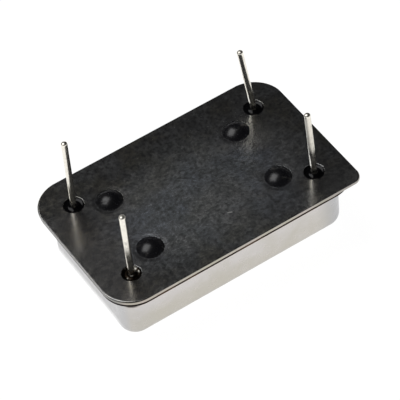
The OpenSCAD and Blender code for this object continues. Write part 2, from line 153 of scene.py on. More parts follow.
class BaseSettings(bpy.types.PropertyGroup):
    """Sizes and colours of the base plate."""

    rim: length("Rim", "Thickness of the rim outside the cap", 0.25)
    corner: length("Corner", "Radius of the three round corners", 2.3)
    index_corner: length("Index Corner", "Radius of the square corner beside pin 1", 0.75)
    edge_roll: length("Edge Roll", "Rounding of the rim's top edge along its sides", 0.045)
    corner_roll: length("Corner Roll", "Rounding of the rim's top edge at its corners", 0.15)
    lower_edge: length("Lower Edge", "Rounding of the rim's sheared edge", 0.03)
    platform_gap: length("Platform Gap", "Clearance between the platform and the cap", 0.15)
    bead_hole: length("Bead Hole", "Radius of the hole that a stand-off bead fills", 0.75)
    rim_round: length("Hole Rim", "Rounding of the rim of each hole", 0.024)
    moat: length("Moat", "Width of the groove round each stand-off bead", 0.016)
    moat_round: length("Moat Rim", "Rounding of that groove's rim", 0.004)
    metal: colour("Metal", "Colour of the nickel plating", (0.565, 0.575, 0.58))
    cool: colour("Cool Film", "Colour of the bluish patches", (0.49, 0.53, 0.6))
    tarnish: colour("Tarnish", "Colour of the brown patches beside the weld", (0.44, 0.4, 0.28))


class PinSettings(bpy.types.PropertyGroup):
    """Sizes and colour of the four pins."""

    tip_round: length("Tip Rounding", "Height of a pin's rounded end", 0.13)
    bend_height: length("Bend Height", "Height above the base where a pin starts to lean", 0.1)
    bend_ease: length("Bend Ease", "Length over which a pin eases into its lean", 0.12)
    rings: count("Rings", "Rings along a pin", 96, 16, 400)
    tip_rings: count("Tip Rings", "Rings on the rounded end", 9, 4, 32)
    sides: count("Sides", "Sides round a pin", 48, 12, 128)
    metal: colour("Metal", "Colour of the bright nickel wire", (0.9, 0.865, 0.78))
    film: colour("Film", "Colour of the wire's dull patches", (0.5, 0.47, 0.42))


class GlassSettings(bpy.types.PropertyGroup):
    """Sizes and colours of the glass and of the braze."""

    seal_dip: length("Seal Dip", "Dip of the glass between a pin and its hole", 0.08)
    braze_dip: length("Braze Dip", "Dip of the braze in its pocket", 0.14)
    sides: count("Sides", "Sides round a turned piece", 72, 16, 256)
    seal_glass: colour("Sealing Glass", "Colour of the glass round the pins", (0.004, 0.004, 0.005))
    bead_glass: colour("Bead Glass", "Colour of the stand-off beads", (0.007, 0.007, 0.009))
    braze: colour("Braze", "Colour of the silver braze", (0.3, 0.29, 0.26))
    flux: colour("Flux Stain", "Colour of the braze where burnt flux stains it", (0.018, 0.013, 0.009))


class StageSettings(bpy.types.PropertyGroup):
    """Camera, floor and lights."""

    camera_place: triple(
        "Camera Place", "Where the camera stands", (-0.05543, -0.10368, 0.1412),
        subtype="TRANSLATION", unit="LENGTH", precision=5,
    )
    camera_turn: triple(
        "Camera Turn", "How the camera is turned",
        tuple(math.radians(degrees) for degrees in (40.356, 4.289, -33.317)), subtype="EULER",
    )
    lens: share("Lens", "Focal length in millimetres on the camera's sensor", 230.65, high=400)
    floor_size: length("Floor Size", "Length of the floor's sides", 1600, high=5000)
    floor_colour: colour("Floor", "Colour of the floor", (0.16, 0.16, 0.16))
    floor_glow: share("Floor Glow", "Light that the floor gives off", 0.97, high=4)
    box_direction: triple(
        "Softbox Direction", "From the object to the softbox", (-0.234, 0.42, 0.877),
        subtype="DIRECTION",
    )
    box_distance: length("Softbox Distance", "From the object to the softbox", 500, high=5000)
    box_width: length("Softbox Width", "Width of the softbox", 380, high=5000)
    box_depth: length("Softbox Depth", "Depth of the softbox", 308, high=5000)
    box_power: share("Softbox Power", "Power of the softbox in watts", 0.94, high=100)
    wall_front: share("Front Wall", "Brightness of the white wall in front of the object", 1.0, high=4)
    wall_back: share("Back Wall", "Brightness of the room behind the object", 0.05, high=4)
    wall_fade_from: slope("Wall Fade Start", "Angle above the horizon where the wall fades", 15)
    wall_fade_to: slope("Wall Fade End", "Angle above the horizon where the ceiling starts", 36)
    ceiling: share("Ceiling", "Brightness of the room overhead", 0.028, high=4)


class OscillatorSettings(bpy.types.PropertyGroup):
    """All settings of the dressed oscillator."""

    cap: PointerProperty(type=CapSettings)
    base: PointerProperty(type=BaseSettings)
    pin: PointerProperty(type=PinSettings)
    glass: PointerProperty(type=GlassSettings)
    stage: PointerProperty(type=StageSettings)


# ---------------------------------------------------------------- node trees


def arithmetic(operation, reflected=False):
    """An operator of the Value class, which adds a Math node."""
    def work_out(self, other):
        values = (other, self) if reflected else (self, other)
        return self.math(operation, *values)
    return work_out


class Value:
    """An output socket in a tree. Arithmetic on it adds the Math nodes that work it out."""

    def __init__(self, graph, socket):
        self.graph = graph
        self.socket = socket

    def other(self, name):
        """Another output of the same node."""
        return Value(self.graph, self.socket.node.outputs[name])

    def math(self, operation, *values):
        """A Math node on the given values, or on this one alone."""
        inputs = dict(enumerate(values or (self,)))
        return self.graph.add("ShaderNodeMath", {"operation": operation}, inputs)

    __add__ = arithmetic("ADD")
    __radd__ = arithmetic("ADD", reflected=True)
    __sub__ = arithmetic("SUBTRACT")
    __rsub__ = arithmetic("SUBTRACT", reflected=True)
    __mul__ = arithmetic("MULTIPLY")
    __rmul__ = arithmetic("MULTIPLY", reflected=True)
    __truediv__ = arithmetic("DIVIDE")
    __rtruediv__ = arithmetic("DIVIDE", reflected=True)
    __pow__ = arithmetic("POWER")

    def magnitude(self):
        return self.math("ABSOLUTE")

    def smaller(self, value):
        return self.math("MINIMUM", self, value)

    def larger(self, value):
        return self.math("MAXIMUM", self, value)

    def ramp(self, low, high, start=0.0, end=1.0):
        """Goes smoothly from start to end while this goes from low to high."""
        return self.graph.add(
            "ShaderNodeMapRange", {"interpolation_type": "SMOOTHSTEP"},
            {"Value": self, "From Min": low, "From Max": high, "To Min": start, "To Max": end},
        )

    def fade(self, low, high, start=1.0):
        """Goes smoothly from start to 0 while this goes from low to high."""
        return self.ramp(low, high, start, 0.0)


class Graph:
    """A node tree under construction."""

    def __init__(self, tree):
        self.tree = tree
        tree.nodes.clear()

    def add(self, kind, settings=None, inputs=None, output=0):
        """Adds a node, sets it up and fills its sockets with values or links. Gives one output."""
        node = self.tree.nodes.new(kind)
        for name, value in (settings or {}).items():
            setattr(node, name, value)
        for name, value in (inputs or {}).items():
            socket = node.inputs[name]
            if isinstance(value, Value):
                self.tree.links.new(value.socket, socket)
            else:
                socket.default_value = value
        return Value(self, node.outputs[output]) if node.outputs else None

    def vector(self, x=0.0, y=0.0, z=0.0):
        return self.add("ShaderNodeCombineXYZ", None, {"X": x, "Y": y, "Z": z})

    def scaled(self, vector, factor):
        inputs = {0: vector, "Scale": factor}
        return self.add("ShaderNodeVectorMath", {"operation": "SCALE"}, inputs)

    def moved(self, vector, step):
        return self.add("ShaderNodeVectorMath", {"operation": "ADD"}, {0: vector, 1: step})

    def axes(self, vector):
        """The three numbers of a vector."""
        x = self.add("ShaderNodeSeparateXYZ", None, {0: vector}, "X")
        return x, x.other("Y"), x.other("Z")


class Finish(Graph):
    """A procedural material: a Principled shader, and patterns on places in millimetres."""

    COLOUR_A, COLOUR_B, COLOUR_OUT = 6, 7, 2

    def __init__(self, name, **constants):
        self.material = bpy.data.materials.new(name)
        self.material.use_nodes = True
        super().__init__(self.material.node_tree)
        constants = {name.replace("_", " "): value for name, value in constants.items()}
        surface = self.add("ShaderNodeBsdfPrincipled", None, constants)
        self.add("ShaderNodeOutputMaterial", None, {"Surface": surface})
        self.shader = surface.socket.node
        place = self.add("ShaderNodeTexCoord", output="Object")
        self.place = self.scaled(place, 1 / MM)
        self.x, self.y, self.z = self.axes(self.place)

    def set(self, socket_name, value):
        """Links a changing value to one of the shader's sockets."""
        self.tree.links.new(value.socket, self.shader.inputs[socket_name])

    def noise(self, size, detail=2.0, roughness=0.5, stretch=(1, 1, 1), shift=(0, 0, 0)):
        """Cloudy noise from 0 to 1. Its lumps are about size millimetres wide, times the stretch."""
        place = self.add(
            "ShaderNodeMapping", {"vector_type": "TEXTURE"},
            {"Vector": self.place, "Location": shift, "Scale": stretch},
        )
        return self.add(
            "ShaderNodeTexNoise", None,
            {"Vector": place, "Scale": 1 / size, "Detail": detail, "Roughness": roughness},
        )

    def blend(self, factor, first, second):
        """Colour that goes from the first to the second with the factor."""
        return self.add(
            "ShaderNodeMix", {"data_type": "RGBA"},
            {0: factor, self.COLOUR_A: solid(first), self.COLOUR_B: solid(second)},
            self.COLOUR_OUT,
        )

    def tinted(self, colour, tones, **amounts):
        """A colour with some of the named tones laid over it, in the order of their amounts."""
        for name, amount in amounts.items():
            colour = self.blend(amount, colour, tones[name])
        return colour

    def inset(self, low, high):
        """How far a place lies inside the left, right, front and back of a box, in millimetres."""
        left, front = self.x - low.x / MM, self.y - low.y / MM
        return left, high.x / MM - self.x, front, high.y / MM - self.y

    def spot(self, x, y, radius, soft):
        """1 inside a round spot, 0 outside it, seen from above."""
        away = ((self.x - x) ** 2 + (self.y - y) ** 2).math("SQRT")
        return away.fade(radius, radius + soft)

    def stroke(self, start, end, width):
        """1 on a short straight mark between two places seen from above, 0 beside it."""
        along = Vector(end) - Vector(start)
        reach = along.length
        along.normalize()
        middle = (Vector(start) + Vector(end)) / 2
        dx = self.x - middle.x
        dy = self.y - middle.y
        lengthwise = (dx * along.x + dy * along.y).magnitude()
        across = (dx * -along.y + dy * along.x).magnitude()
        inside = lengthwise.fade(reach * 0.35, reach * 0.5)
        return inside * across.fade(width * 0.3, width)

    def bump(self, height, depth):
        """Relief whose full height is depth millimetres."""
        self.set("Normal", self.add(
            "ShaderNodeBump", None, {"Height": height, "Strength": 1.0, "Distance": depth * MM},
        ))


def solid(value):
    """A colour socket's value, from three numbers or a link."""
    return value if isinstance(value, Value) else (*value, 1.0)


# ---------------------------------------------------------------- finishes


# Tones laid over the cap's metal, each where its finish says; most of them are painted light and shade
CAP_TONES = {
    # Painted shade near the floor
    "foot": (0.4, 0.385, 0.37),
    # Painted light: lighter and warmer towards the mouth
    "mouth": (0.72, 0.62, 0.53),
    # Painted shade towards both ends of the wall and on the left end wall
    "towards_left": (0.5, 0.49, 0.48),
    "right_end": (0.42, 0.43, 0.46),
    "left_end": (0.5, 0.5, 0.51),
    # Painted highlight low on the left end wall
    "polished": (0.95, 0.95, 0.95),
    "heated": (0.34, 0.23, 0.09),
    # Painted shade on the wall under the flange's front left corner
    "scorched": (0.02, 0.011, 0.009),
    # Weld burn and painted shade, darkest at the flange's corners
    "charred": (0.01, 0.004, 0.003),
}


def cap_metal(finish, settings):
    """Colour of the cap's bare metal, which clouds over and carries painted light and shade: darker
    towards the floor and both ends, lighter towards the mouth, with a painted highlight low on the left
    end.
    """
    cloud = finish.noise(2.4, detail=3.0)
    # Painted light and shade: the metal turns warmer and darker towards the floor, lighter towards the
    # mouth
    height = finish.z.ramp(0.9, 3.6, -0.16, 0.16)
    metal = finish.blend((cloud + height).fade(0.25, 0.75), settings.metal, settings.warm)
    left, right, front, _ = finish.inset(CAP_LOW, CAP_HIGH)
    left_end = left.fade(0.95, 1.35)
    return finish.tinted(
        metal, CAP_TONES,
        # Painted shade near the floor, painted light towards the mouth
        foot=finish.z.fade(0.55, 0.95, 0.3),
        mouth=finish.z.ramp(3.0, 3.5, 0.0, 0.5),
        # Painted shade: darker towards both ends and on the left end wall
        towards_left=left.fade(1.25, 3.45, 0.3),
        right_end=right.fade(1.45, 3.65, 0.7),
        left_end=left_end * 0.8,
        # Painted highlight: near white low on the left end wall, away from the front
        polished=left_end * finish.z.fade(0.7, 1.5) * front.ramp(1.5, 3.3, 0.0, 0.85),
    )


def cap_finish(settings):
    """Satin nickel on drawn sheet, with a dark band on the flange's edge and underside that is partly
    weld burn and partly painted shade under the flange, and a painted shade patch down the wall under
    the flange's front left corner.
    """
    finish = Finish("satin_nickel")
    mottle = finish.noise(0.5, detail=4.0, roughness=0.65)
    drawn = finish.noise(0.35, detail=3.0, stretch=(1, 1, 9))
    grain = finish.noise(0.06, detail=2.0)
    wander = finish.noise(3.0, detail=2.0)
    left, right, front, back = finish.inset(CAP_LOW, CAP_HIGH)
    below_weld = CAP_HIGH.z / MM - finish.z
    corner = settings.flange_corner / MM
    past_x = (corner - left.smaller(right)).larger(0.0)
    past_y = (corner - front.smaller(back)).larger(0.0)
    past_flange = (past_x * past_x + past_y * past_y).math("SQRT") - corner
    # The burn, partly real weld burn and partly painted shade under the flange, covers the flange's edge
    # and underside, from a line that wanders beside the weld
    burn_line = 0.04 - (mottle - 0.5) * 0.1 - (wander - 0.5) * 0.16
    burnt = (below_weld - burn_line).ramp(-0.03, 0.04)
    burnt = burnt * below_weld.fade(0.26, 0.29) * past_flange.ramp(-0.4, -0.15)
    metal = finish.tinted(
        cap_metal(finish, settings), CAP_TONES,
        heated=burnt.ramp(0.0, 0.6) * burnt.fade(0.5, 1.0, 0.6),
        # Painted shade: dark down the wall under the flange's front left corner
        scorched=left.fade(1.55, 2.15) * front.fade(1.35, 1.65) * below_weld.fade(1.47, 1.65, 0.85),
    )
    scale = finish.blend(wander.ramp(0.52, 0.66), settings.scale, settings.straw)
    # Painted shade: the band turns darker at the flange's corners
    scale = finish.tinted(scale, CAP_TONES, charred=(past_x * past_y).ramp(0.3, 1.8))
    finish.set("Base Color", finish.blend(burnt.ramp(0.3, 0.9), metal, scale))
    finish.set("Metallic", 1 - burnt * 0.1)
    finish.set("Roughness", mottle.ramp(0.3, 0.7, 0.26, 0.38) + burnt * 0.4)
    finish.bump(drawn * 0.6 + grain * 0.25 + mottle * 0.5, 0.004)
    return finish.material


# Tones laid over the base plate's nickel, each where its finish says; some of them are painted light and
# shade
BASE_TONES = {
    # Darker towards the two ends of the plate
    "worn": (0.33, 0.32, 0.305),
    # Brown stains that also paint shade over the reflected streaks of pins 7 and 8
    "stained": (0.3, 0.27, 0.2),
    "mottled": (0.3, 0.3, 0.31),
    "specked": (0.24, 0.24, 0.25),
    # Painted light over the reflected streak of pin 14
    "wiped": (0.74, 0.73, 0.68),
    # Painted shade ring round the stand-off beads
    "grimy": (0.24, 0.24, 0.25),
    "scratched": (0.12, 0.12, 0.12),
    "rubbed_bright": (0.9, 0.88, 0.84),
    "sheared_warm": (0.47, 0.415, 0.37),
    "sheared_green": (0.44, 0.415, 0.34),
    "sheared_dull": (0.24, 0.24, 0.225),
}
# Round patches on the base plate: their middle, radius and soft border in millimetres
# Brown stains over the reflected streaks of pins 8 and 7, where they also paint shade
STAINS = ((-8.7, 1.4, 0.5, 1.5), (-8.1, -5.3, 0.4, 1.2))
# Painted light: a lighter patch that brightens the reflected streak of pin 14
WIPED_PATCH = (6.2, 1.8, 0.5, 1.6)
# Handling marks on the base plate: their start, end and width in millimetres
SCRATCH = ((-0.5, 1.55), (0.25, 1.0), 0.07)
FAINT_SCRATCH = ((1.15, -4.0), (1.55, -4.2), 0.06)
NICK = ((0.62, -3.27), (0.98, -3.44), 0.05)
RUB = ((3.1, -3.3), (3.6, -3.55), 0.06)


def bead_feet(finish):
    """Where the plate is drawn in round the stand-off beads, and a painted shade ring just outside them.
    """
    drawn_in = []
    grimy = []
    for node in BEAD_NODES:
        place = flat_place(node) / MM
        reach = half_width(node) / MM
        foot = finish.spot(place.x, place.y, reach + 0.03, 0.3)
        drawn_in.append(foot)
        # Painted shade: a dark ring just outside each bead, standing in for its dark reflection
        grimy.append(foot * (1 - finish.spot(place.x, place.y, reach + 0.04, 0.08)))
    return sum(drawn_in), sum(grimy)


def sheared_edge(finish, drift):
    """Colour of the base plate's sheared edge, dull at its two ends."""
    left, right, _, _ = finish.inset(PLATE_LOW, PLATE_HIGH)
    return finish.tinted(
        BASE_TONES["sheared_warm"], BASE_TONES,
        sheared_green=drift.ramp(0.4, 0.6),
        sheared_dull=(left.fade(0.2, 0.9) + right.fade(2.1, 5.6, 0.5)).smaller(1.0),
    )


def base_finish(settings):
    """Semi-bright nickel on the base: faint grain, cool and brown patches, a few handling marks, a
    painted shade ring round each bead, brown patches that also paint shade over two pins' reflected
    streaks, and a painted light patch beside pin 14.
    """
    finish = Finish("plated_nickel", Metallic=1.0)
    cloud = finish.noise(4.5, detail=2.0, shift=(1.5, 0.4, 0))
    drift = finish.noise(2.2, detail=3.0, shift=(7.0, 3.0, 0))
    mottle = finish.noise(0.45, detail=5.0, roughness=0.65)
    specks = finish.noise(0.22, detail=3.0, roughness=0.6)
    brushed = finish.noise(0.12, detail=3.0, stretch=(14, 1, 1))
    grain = finish.noise(0.05, detail=2.0)
    # The clean field in the middle of the plate, and the darker, rougher places at its two ends
    off_x = (finish.x - 0.8) / (PLATE_HIGH.x / MM * 0.88)
    off_y = (finish.y + 0.9) / (PLATE_HIGH.y / MM * 0.86)
    field = (off_x * off_x + off_y * off_y).fade(0.1, 1.3)
    left, right, front, back = finish.inset(PLATE_LOW, PLATE_HIGH)
    worn = left.fade(1.9, 4.3) * back.ramp(1.95, 3.55, 0.2, 1.0)
    worn = worn + right.fade(3.1, 5.1) * front.fade(1.85, 3.35, 0.6)
    scratched = finish.stroke(*SCRATCH) + finish.stroke(*FAINT_SCRATCH) * 0.6
    nick = finish.stroke(*NICK)
    drawn_in, grimy = bead_feet(finish)
    metal = finish.blend(field * cloud.ramp(0.35, 0.6), settings.metal, settings.cool)
    brown = (1 - field * 0.7) * drift.ramp(0.42, 0.66, 0.0, 0.55)
    metal = finish.tinted(
        finish.blend(brown, metal, settings.tarnish), BASE_TONES,
        worn=worn * 0.9,
        # Stains that also paint shade over the reflected streaks of pins 7 and 8
        stained=sum(finish.spot(*stain) for stain in STAINS).smaller(1.0) * 0.45,
        mottled=mottle.fade(0.35, 0.65, 0.4),
        specked=specks.fade(0.36, 0.54, 0.72),
        # Painted light over the reflected streak of pin 14
        wiped=finish.spot(*WIPED_PATCH) * 0.6,
        # Painted shade round the stand-off beads
        grimy=grimy * 0.5,
    )
    below_top = (PLATE_HIGH.z / MM - finish.z).ramp(0.008, 0.03, 0.0, 0.85)
    finish.set("Base Color", finish.tinted(
        finish.blend(below_top, metal, sheared_edge(finish, drift)), BASE_TONES,
        scratched=scratched * 0.8,
        rubbed_bright=(nick + finish.stroke(*RUB) * 0.7).smaller(1.0) * 0.5,
    ))
    near_front = front.fade(0.15, 1.95) * right.ramp(5.1, 16.1, 1.0, 0.3)
    polish = field * 0.072 + near_front * 0.03 + worn * 0.035 + 0.165
    finish.set("Roughness", polish + mottle.ramp(0.3, 0.7, -0.02, 0.02) + nick * 0.18)
    relief = brushed * 0.5 + grain * 0.2 + mottle * 0.3 - scratched * 0.7 - drawn_in * 4.0
    finish.bump(relief, 0.002)
    return finish.material


def pin_finish(settings):
    """Bright nickel wire with fine lines drawn along it, dulled over the outer half of pin 1."""
    finish = Finish("bright_nickel_wire", Metallic=1.0)
    lines = finish.noise(0.05, detail=3.0, stretch=(1, 1, 30))
    mottle = finish.noise(0.4, detail=4.0, roughness=0.6)
    finish.set("Base Color", finish.blend(
        mottle.ramp(0.45, 0.75, 0.0, 0.5), settings.metal, settings.film
    ))
    cut = finish.z.ramp(PIN_TOP / MM - 0.1, PIN_TOP / MM)
    pin_1 = flat_place("pin_1") / MM
    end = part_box("pin_1")[1].z / MM
    dulled = finish.z.ramp(7.0, 8.2) * finish.z.fade(end - 0.35, end - 0.15)
    dulled = dulled * finish.spot(pin_1.x, pin_1.y, 1.0, 0.5)
    finish.set("Roughness", mottle.ramp(0.3, 0.7, 0.18, 0.25) + cut * 0.1 + dulled * 0.3)
    finish.bump(lines * 0.6 + mottle * 0.4, 0.003)
    return finish.material


def glass_finish(name, glass_colour, polish, reflectance):
    """Fired glass: smooth and glossy, with a few tiny dimples and a trace of dust."""
    finish = Finish(name, Metallic=0.0, IOR=1.5, Specular_IOR_Level=reflectance)
    swell = finish.noise(0.5, detail=1.0)
    dimples = finish.noise(0.07, detail=2.0)
    dust = finish.noise(0.2, detail=5.0, roughness=0.7).ramp(0.6, 0.8)
    finish.set("Base Color", finish.blend(dust * 0.12, glass_colour, (0.2, 0.2, 0.19)))
    finish.set("Roughness", dust * 0.2 + polish)
    finish.bump(swell * 0.8 + dimples * 0.1, 0.006)
    return finish.material


def braze_finish(settings):
    """Silver braze, drawn up against the pin, slightly frosted."""
    finish = Finish("silver_braze", Metallic=1.0)
    crystals = finish.noise(0.09, detail=4.0, roughness=0.6)
    swell = finish.noise(0.35, detail=2.0)
    metal = finish.blend(swell.ramp(0.38, 0.46), settings.braze, settings.flux)
    finish.set("Base Color", metal)
    finish.set("Roughness", crystals.ramp(0.3, 0.7, 0.2, 0.38))
    finish.bump(crystals * 0.3 + swell, 0.03)
    return finish.material


# First colour, second colour, size of the patches in millimetres, lowest and highest
# roughness, metallic, and depth of the relief in millimetres
INSIDE_FINISHES = {
    "substrate": ((0.83, 0.82, 0.77), (0.74, 0.72, 0.66), 0.25, 0.5, 0.65, 0.0, 0.006),
    "film": ((0.5, 0.4, 0.22), (0.4, 0.3, 0.15), 0.8, 0.3, 0.45, 0.0, 0.01),
    "conductor": ((0.75, 0.6, 0.33), (0.62, 0.5, 0.3), 0.12, 0.35, 0.5, 1.0, 0.005),
    "solder": ((0.66, 0.66, 0.65), (0.52, 0.52, 0.51), 0.3, 0.22, 0.4, 1.0, 0.01),
    "silicon": ((0.16, 0.16, 0.19), (0.22, 0.21, 0.24), 0.3, 0.08, 0.16, 0.6, 0.001),
    "resin": ((0.012, 0.012, 0.012), (0.03, 0.03, 0.03), 0.5, 0.12, 0.3, 0.0, 0.01),
    "capacitor": ((0.42, 0.27, 0.14), (0.34, 0.21, 0.11), 0.15, 0.35, 0.5, 0.0, 0.004),
    "plated_end": ((0.72, 0.72, 0.7), (0.6, 0.6, 0.58), 0.1, 0.3, 0.45, 1.0, 0.004),
    "electrode": ((0.86, 0.85, 0.82), (0.78, 0.76, 0.7), 0.6, 0.1, 0.2, 1.0, 0.001),
    "clip": ((0.72, 0.7, 0.65), (0.6, 0.58, 0.53), 0.3, 0.18, 0.3, 1.0, 0.003),
    "bond": ((0.5, 0.5, 0.49), (0.38, 0.38, 0.37), 0.12, 0.45, 0.6, 0.7, 0.015),
}


def inside_finish(slot):
    """Finish of one material inside the can, which only shows when the cap is off."""
    first, second, size, smooth, rough, metallic, depth = INSIDE_FINISHES[slot]
    finish = Finish(slot, Metallic=metallic)
    patches = finish.noise(size, detail=4.0, roughness=0.6)
    grain = finish.noise(size / 6, detail=2.0)
    finish.set("Base Color", finish.blend(patches.ramp(0.35, 0.65), first, second))
    finish.set("Roughness", grain.ramp(0.3, 0.7, smooth, rough))
    finish.bump(patches + grain * 0.4, depth)
    return finish.material


def quartz_finish():
    """Clear quartz, given a fine polish, with a faint haze of lapping marks."""
    finish = Finish("quartz", Metallic=0.0, IOR=1.54, Transmission_Weight=0.85)
    haze = finish.noise(0.3, detail=5.0, roughness=0.65)
    lapping = finish.noise(0.03, detail=2.0)
    finish.set("Base Color", finish.blend(haze.ramp(0.4, 0.7), (0.93, 0.96, 0.97), (0.82, 0.87, 0.88)))
    finish.set("Roughness", haze.ramp(0.3, 0.7, 0.06, 0.18))
    finish.bump(lapping, 0.0008)
    return finish.material


# ---------------------------------------------------------------- meshes


class Outline:
    """Rounded rectangle with its own radius at each corner: +x+y, -x+y, -x-y, +x-y."""

    def __init__(self, half_x, half_y, radii):
        self.half_x = half_x
        self.half_y = half_y
        self.radii = radii

    def grown(self, distance):
        """The same outline, moved outwards all round."""
        radii = [radius + distance for radius in self.radii]
        return Outline(self.half_x + distance, self.half_y + distance, radii)

    def ring(self, z, steps):
        """The outline's points at a height, anticlockwise from the +X side."""
        points = []
        signs = ((1, 1), (-1, 1), (-1, -1), (1, -1))
        for corner, ((sx, sy), radius) in enumerate(zip(signs, self.radii)):
            x = sx * (self.half_x - radius)
            y = sy * (self.half_y - radius)
            for step in range(steps + 1):
                angle = QUARTER * (corner + step / steps)
                points.append((x + radius * math.cos(angle), y + radius * math.sin(angle), z))
        return points


def arc(centre, radius, start, end, steps):
    """Points of an arc in a profile, from one angle in degrees to another."""
    points = []
    for step in range(steps + 1):
        angle = math.radians(start + (end - start) * step / steps)
        points.append((centre[0] + radius * math.cos(angle), centre[1] + radius * math.sin(angle)))
    return points


def circle(place, radius, z):
    """Points of a level circle at a height."""
    points = []
    for side in range(HOLE_SIDES):
        angle = math.tau * side / HOLE_SIDES
        points.append((place.x + radius * math.cos(angle), place.y + radius * math.sin(angle), z))
    return points


def swept(outline, profile, steps):
    """Rings of a profile swept round an outline. Its points are distance outwards and height."""
    return [outline.grown(out).ring(z, steps) for out, z in profile]


def rolled(outline, top, along_side, at_corner, steps):
    """Rings of a rounded top edge, whose rounding grows towards the middle of each corner."""
    middle = [math.sin(math.pi * step / steps) for step in range(steps + 1)] * 4
    rims = [outline.grown(0.0).ring(top, steps), outline.grown(-MM).ring(top, steps)]
    rings = []
    for height in range(steps + 1):
        angle = QUARTER * (1 - height / steps)
        ring = []
        for share_of_corner, outer, inner in zip(middle, *rims):
            radius = along_side + (at_corner - along_side) * share_of_corner
            inwards = radius * (1 - math.cos(angle)) / MM
            x = outer[0] + (inner[0] - outer[0]) * inwards
            y = outer[1] + (inner[1] - outer[1]) * inwards
            ring.append((x, y, top - radius * (1 - math.sin(angle))))
        rings.append(ring)
    return rings


def add_rings(shell, rings):
    """Adds rings of points to a bmesh, skins them in order, and gives the rings' vertices."""
    rows = [[shell.verts.new(point) for point in ring] for ring in rings]
    for lower, upper in zip(rows, rows[1:]):
        for i in range(len(lower)):
            j = (i + 1) % len(lower)
            shell.faces.new((lower[i], lower[j], upper[j], upper[i]))
    return rows


def ring_edges(shell, row):
    """The edges between neighbouring vertices of a ring."""
    found = []
    for i, vertex in enumerate(row):
        pair = (vertex, row[(i + 1) % len(row)])
        found.append(shell.edges.get(pair) or shell.edges.new(pair))
    return found


def fill_flat(shell, rows):
    """Fills the flat face between an outer ring and the rings of its holes."""
    edges = [edge for row in rows for edge in ring_edges(shell, row)]
    bmesh.ops.triangle_fill(shell, use_beauty=True, use_dissolve=False, edges=edges)


def finish_mesh(mesh, shell):
    """Writes a bmesh into a mesh, smooth and with its faces pointing outwards."""
    bmesh.ops.recalc_face_normals(shell, faces=shell.faces)
    shell.to_mesh(mesh)
    shell.free()
    mesh.shade_smooth()
    mesh.set_sharp_from_angle(angle=SHARP_ANGLE)


def add_piece(name, mesh):
    """A new object at the origin, with its place in its mesh."""
    piece = bpy.data.objects.new(name, mesh)
    bpy.context.scene.collection.objects.link(piece)
    return piece


def add_shell(name, shell, material):
    """A new piece from a bmesh and a material."""
    mesh = bpy.data.meshes.new(name)
    finish_mesh(mesh, shell)
    mesh.materials.append(material)
    return add_piece(name, mesh)


def hand_over(piece, node):
    """Lets a finished piece stand for a CAD node: hangs it on the body and hides the node."""
    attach(piece, BODY)
    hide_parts(node)


def flat_place(node):
    """Place of a node's middle on the ground."""
    low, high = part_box(node)
    return Vector(((low.x + high.x) / 2, (low.y + high.y) / 2, 0.0))


def half_width(node):
    """Radius of a round node."""
    low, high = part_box(node)
    return (high.x - low.x) / 2


# ---------------------------------------------------------------- geometry trees


def new_tree(name, **inputs):
    """A geometry tree with named inputs, given by their kinds, and a Value for each of them."""
    tree = bpy.data.node_groups.new(name, "GeometryNodeTree")
    inputs = {"Geometry": ("Geometry",), **inputs, "Material": ("Material",)}
    for kind, labels in inputs.items():
        for label in labels:
            tree.interface.new_socket(label, in_out="INPUT", socket_type="NodeSocket" + kind)
    tree.interface.new_socket("Geometry", in_out="OUTPUT", socket_type="NodeSocketGeometry")
    graph = Graph(tree)
    source = graph.add("NodeGroupInput")
    return graph, {label: source.other(label) for labels in inputs.values() for label in labels}


def end_tree(graph, geometry, material):
    """Smooths the result, makes it real and gives it its material."""
    geometry = graph.add("GeometryNodeSetShadeSmooth", None, {"Geometry": geometry})
    geometry = graph.add("GeometryNodeRealizeInstances", None, {"Geometry": geometry})
    geometry = graph.add("GeometryNodeSetMaterial", None, {"Geometry": geometry, "Material": material})
    graph.add("NodeGroupOutput", None, {"Geometry": geometry})
    return graph.tree


def turned_tree(name):
    """Geometry tree that turns a profile, given as a row of points in XZ, round an upright axis."""
    graph, inputs = new_tree(name, Vector=("Place",), Int=("Sides",))
    rows = graph.add(
        "GeometryNodeAttributeDomainSize", {"component": "MESH"},
        {"Geometry": inputs["Geometry"]}, "Point Count",
    )
    grid = graph.add("GeometryNodeMeshGrid", None, {
        "Size X": 1.0, "Size Y": 1.0, "Vertices X": inputs["Sides"] + 1, "Vertices Y": rows,
    })
    spot = graph.add("GeometryNodeInputPosition")
    across, down, _ = graph.axes(spot)
    turn = (across + 0.5) * math.tau
    row = ((down + 0.5) * (rows - 1)).math("ROUND")
    profile = graph.add("GeometryNodeSampleIndex", {"data_type": "FLOAT_VECTOR"}, {
        "Geometry": inputs["Geometry"], "Value": spot, "Index": row,
    })
    reach, _, level = graph.axes(profile)
    around = graph.vector(reach * turn.math("COSINE"), reach * turn.math("SINE"), level)
    around = graph.moved(around, inputs["Place"])
    skin = graph.add("GeometryNodeSetPosition", None, {"Geometry": grid, "Position": around})
    skin = graph.add("GeometryNodeMergeByDistance", None, {"Geometry": skin, "Distance": MERGE_GAP})
    return end_tree(graph, skin, inputs["Material"])


